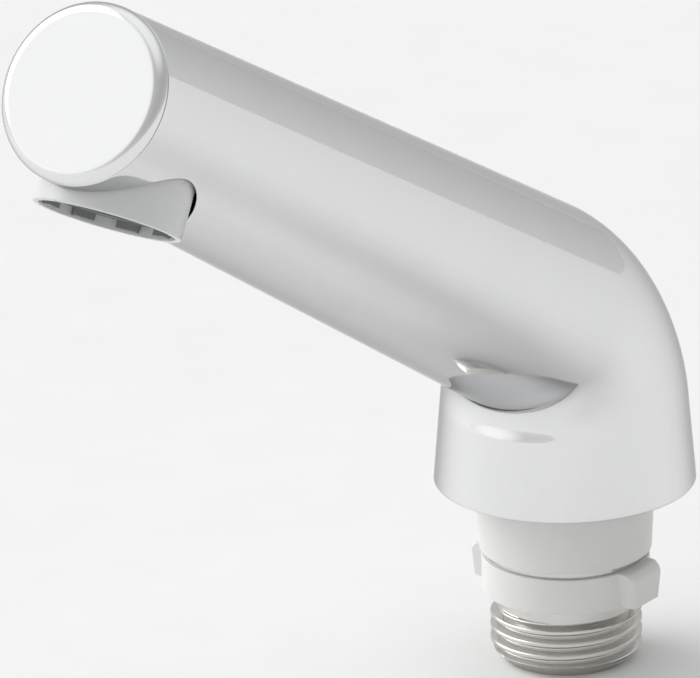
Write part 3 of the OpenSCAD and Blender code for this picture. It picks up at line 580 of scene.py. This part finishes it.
def key_section(z, inset):
    """The ring's outline at height z, rows (x, y): a circle with two lugs along x, wedge-shaped, with
    chamfered outer corners, a small fillet at the root and a rounded top outer edge. It is drawn in by
    inset all round."""
    down = (KEY_TOP - z) / (KEY_TOP - KEY_LOW)
    rise = np.clip((z - KEY_TOP + LUG_ROUND) / LUG_ROUND, 0, 1)
    half = LUG_HALF - LUG_DRAFT * down - inset
    reach = LUG_REACH - LUG_SLOPE * down - LUG_ROUND * (1 - np.sqrt(1 - rise ** 2)) - inset
    c, fillet_r, ring_r = LUG_CHAMFER, 0.25, KEY_R - inset
    root = np.sqrt(ring_r ** 2 - (half + fillet_r) ** 2)
    q = np.linspace(0, 1, 6)[1:-1]
    fillet = np.stack([root + 0.05 + 0.3 * q ** 2, half + fillet_r * (1 - q) ** 2], 1)
    face = np.stack([np.full(5, reach), np.linspace(c - half, half - c, 7)[1:-1]], 1)
    lug = np.vstack([fillet * [1, -1], [[reach - c, -half], [reach, c - half]], face,
                     [[reach, half - c], [reach - c, half]], fillet[::-1]])
    t = np.linspace(np.arctan2(half + fillet_r, root), np.pi / 2, 30)
    t = np.concatenate([t, np.pi - t[::-1]])
    side = ring_r * np.stack([np.cos(t), np.sin(t)], 1)
    return np.vstack([lug, side, -lug, -side])


def key_ring():
    """Sections stacked from the bottom face to the top one, then down the bore. At both faces the outer
    edge is an arc: at an angle q from the side the section is drawn in by edge (1 - cos q) and lies
    edge (1 - sin q) from the face. The flat faces keep their own normals."""
    edge = 0.15
    q = np.linspace(0, np.pi / 2, 5)
    drawn_in, from_face = edge * (1 - np.cos(q)), edge * (1 - np.sin(q))
    round_low = KEY_TOP - LUG_ROUND
    swing = np.linspace(0, np.arcsin(1 - edge / LUG_ROUND), 7)[1:-1]
    between = np.concatenate([np.linspace(KEY_LOW + 0.5, round_low, 6),
                              round_low + LUG_ROUND * np.sin(swing)])
    levels = np.concatenate([KEY_LOW + from_face[::-1], between, KEY_TOP - from_face])
    insets = np.concatenate([drawn_in[::-1], 0 * between, drawn_in])
    sections = [key_section(z, inset) for z, inset in zip(levels, insets)]
    bore = KEY_BORE_R * sections[0] / np.linalg.norm(sections[0], axis=1)[:, None]
    stack = sections + [bore, bore]
    heights = np.concatenate([levels, [KEY_TOP, KEY_LOW]])
    p = np.stack([np.column_stack([s, np.full(len(s), z)]) for s, z in zip(stack, heights)])
    piece = skin_mesh("key_ring_lugs", p, np.ones_like(p), grid_quads(len(p), p.shape[1], True),
                      pale_plastic, "key_ring")
    piece.data.normals_split_custom_set_from_vertices([(0, 0, 0)] * len(piece.data.vertices))
    piece.data.set_sharp_from_angle(angle=np.radians(28))
    flats = piece.modifiers.new("flat_faces", "WEIGHTED_NORMAL")
    flats.keep_sharp = True


def valve_spring():
    """A round wire swept along a helix about the z axis, with domed ends: its centre is (R cos a, R sin a,
    z rising evenly with a), and its ring is c + w (cos t out + sin t up), with up square to the way."""
    steps, sides = 300, 16
    total, dome = 2 * np.pi * SPRING_TURNS, WIRE_R / SPRING_R
    q = np.linspace(0, np.pi / 2, 6)
    a = np.concatenate([dome * (1 - np.cos(q)), np.linspace(dome, total - dome, steps)[1:-1],
                        total - dome * (1 - np.cos(q[::-1]))])
    thick = np.concatenate([np.sin(q), np.ones(steps - 2), np.sin(q[::-1])])[:, None, None]
    lean = np.concatenate([-np.cos(q), np.zeros(steps - 2), np.cos(q[::-1])])[:, None, None]
    low, high = SPRING_LOW + WIRE_R, SPRING_HIGH - WIRE_R
    zero, rise = 0 * a, (high - low) / total
    centre = np.stack([SPRING_R * np.cos(a), SPRING_R * np.sin(a), low + rise * a], 1)[:, None, :]
    out = np.stack([np.cos(a), np.sin(a), zero], 1)[:, None, :]
    ahead = np.stack([-SPRING_R * np.sin(a), SPRING_R * np.cos(a), zero + rise], 1)[:, None, :]
    ahead /= np.hypot(SPRING_R, rise)
    t = -np.arange(sides)[None, :, None] * 2 * np.pi / sides
    ring = np.cos(t) * out + np.sin(t) * np.cross(out, ahead)
    piece = skin_mesh("valve_spring_wire", centre + WIRE_R * thick * ring, thick * ring + lean * ahead,
                      grid_quads(len(a), sides, False), spring_steel, "valve_spring")
    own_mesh(piece)


shell()
front_cap()
outlet_collar()
aerator_ring()
guide_neck()
hose_nipple()
key_ring()
valve_spring()

# Solids that keep their own shape
# The stream grille gets the near-black finish of painted shade, for the shadowed inside of the outlet.
carried = {"stream_grille": grille_painted_shade, "diffuser_plate": inner_plastic, "screen_coarse": sheet_steel,
           "screen_fine": sheet_steel, "flow_regulator": rubber, "aerator_seal": rubber,
           "cap_o_ring": rubber, "outlet_o_ring": rubber, "inlet_o_ring": rubber,
           "check_valve_o_ring": rubber, "poppet_seal": rubber, "water_tube": inner_plastic,
           "check_valve_housing": inner_plastic,
           "check_valve_guide": ring_plastic, "valve_poppet": inner_plastic, "retaining_ring": sheet_steel,
           "clamp_nut": plated, "valve_snap_ring": sheet_steel}
for name, material in carried.items():
    nodes[name].data.materials.clear()
    nodes[name].data.materials.append(material)


# Floor, light and camera
def pale_floor(half, z):
    """A flat square of a half width, at height z, in metres."""
    mesh = bpy.data.meshes.new("floor")
    mesh.from_pydata([(-half, -half, z), (half, -half, z), (half, half, z), (-half, half, z)], [],
                     [(0, 1, 2, 3)])
    mesh.materials.append(finish("pale_floor", (0.82, 0.82, 0.82), rough=0.7, grain=300.0,
                                 grain_depth=0.02, mottle=0.01))
    piece = bpy.data.objects.new("floor", mesh)
    bpy.context.scene.collection.objects.link(piece)


def placed(data, axes, at):
    """An object made from data, under its name, at a place in metres. axes are its right, up and back."""
    m = np.eye(4)
    m[:3, :3], m[:3, 3] = np.transpose(axes), at
    piece = bpy.data.objects.new(data.name, data)
    piece.matrix_world = Matrix(m.tolist())
    bpy.context.scene.collection.objects.link(piece)
    return piece


def studio_world(heights, left, right, glows):
    """Soft surroundings: a grey for each height of the view's direction, from 0 up to 1, times a factor
    that falls from left (-X) to right (+X). To it are added soft round glows, each with its direction,
    the half angles in degrees at which it starts and stops to fade, and its radiance."""
    world = bpy.data.worlds.new("studio")
    bpy.context.scene.world = world
    world.use_nodes = True
    tree = world.node_tree
    new, link = tree.nodes.new, tree.links.new

    def maths(operation, first, second):
        node = new("ShaderNodeMath")
        node.operation = operation
        link(first, node.inputs[0])
        link(second, node.inputs[1])
        return node.outputs["Value"]

    place = new("ShaderNodeTexCoord").outputs["Generated"]
    split, ramp = new("ShaderNodeSeparateXYZ"), new("ShaderNodeValToRGB")
    link(place, split.inputs["Vector"])
    link(split.outputs["Z"], ramp.inputs["Fac"])
    ramp.color_ramp.interpolation = "B_SPLINE"
    stops = ramp.color_ramp.elements
    stops[0].color, stops[1].color = ((grey, grey, grey, 1) for _, grey in (heights[0], heights[-1]))
    for at, grey in heights[1:-1]:
        stops.new(at).color = (grey, grey, grey, 1)
    side = new("ShaderNodeMapRange")
    side.inputs["From Min"].default_value, side.inputs["From Max"].default_value = -0.8, 0.8
    side.inputs["To Min"].default_value, side.inputs["To Max"].default_value = left, right
    link(split.outputs["X"], side.inputs["Value"])
    total = maths("MULTIPLY", ramp.outputs["Color"], side.outputs["Result"])
    for direction, inner, outer, radiance in glows:
        along, glow = new("ShaderNodeVectorMath"), new("ShaderNodeMapRange")
        along.operation, glow.interpolation_type = "DOT_PRODUCT", "SMOOTHSTEP"
        along.inputs[1].default_value = direction / np.linalg.norm(direction)
        glow.inputs["From Min"].default_value = np.cos(np.radians(outer))
        glow.inputs["From Max"].default_value = np.cos(np.radians(inner))
        glow.inputs["To Max"].default_value = radiance
        link(place, along.inputs[0])
        link(along.outputs["Value"], glow.inputs["Value"])
        total = maths("ADD", total, glow.outputs["Result"])
    tree.nodes["Background"].inputs["Color"].default_value = (1, 1, 1, 1)
    link(total, tree.nodes["Background"].inputs["Strength"])


pale_floor(5.0, NIPPLE_LOW / 1000)
front_glow, key_glow = ((-0.52, -0.68, 0.52), 14, 40, 0.44), ((-0.80, -0.15, 0.58), 8, 32, 3.5)
top_glow = ((0.05, 0.25, 1.0), 15, 50, 0.4)
studio_world([(0.0, 0.85), (0.12, 0.72), (0.35, 0.60), (1.0, 0.66)], 1.1, 0.75,
             [front_glow, key_glow, top_glow])
bpy.context.scene.view_settings.view_transform = "Standard"

# The camera, as fitted to the drawing: place in millimetres, azimuth, elevation and roll in degrees,
# and focal length in pixels of the frame
CAMERA_AT, CAMERA_TURN = np.array([1121.5, -1741.4, 788.1]), np.radians([33.5927, 20.332, -0.7958])
FOCAL_PX, FRAME_PX, SENSOR = 16115.2, 700, 36.0
azimuth, elevation, roll = CAMERA_TURN
back = np.array([np.sin(azimuth) * np.cos(elevation), -np.cos(azimuth) * np.cos(elevation),
                 np.sin(elevation)])
right = np.array([np.cos(azimuth), np.sin(azimuth), 0])
up = np.cross(back, right)
camera = bpy.data.cameras.new("camera")
camera.sensor_fit, camera.sensor_width, camera.lens = "HORIZONTAL", SENSOR, FOCAL_PX * SENSOR / FRAME_PX
camera.clip_start, camera.clip_end = 0.1, 20
camera_axes = [right * np.cos(roll) + up * np.sin(roll), up * np.cos(roll) - right * np.sin(roll), back]
bpy.context.scene.camera = placed(camera, camera_axes, CAMERA_AT / 1000)
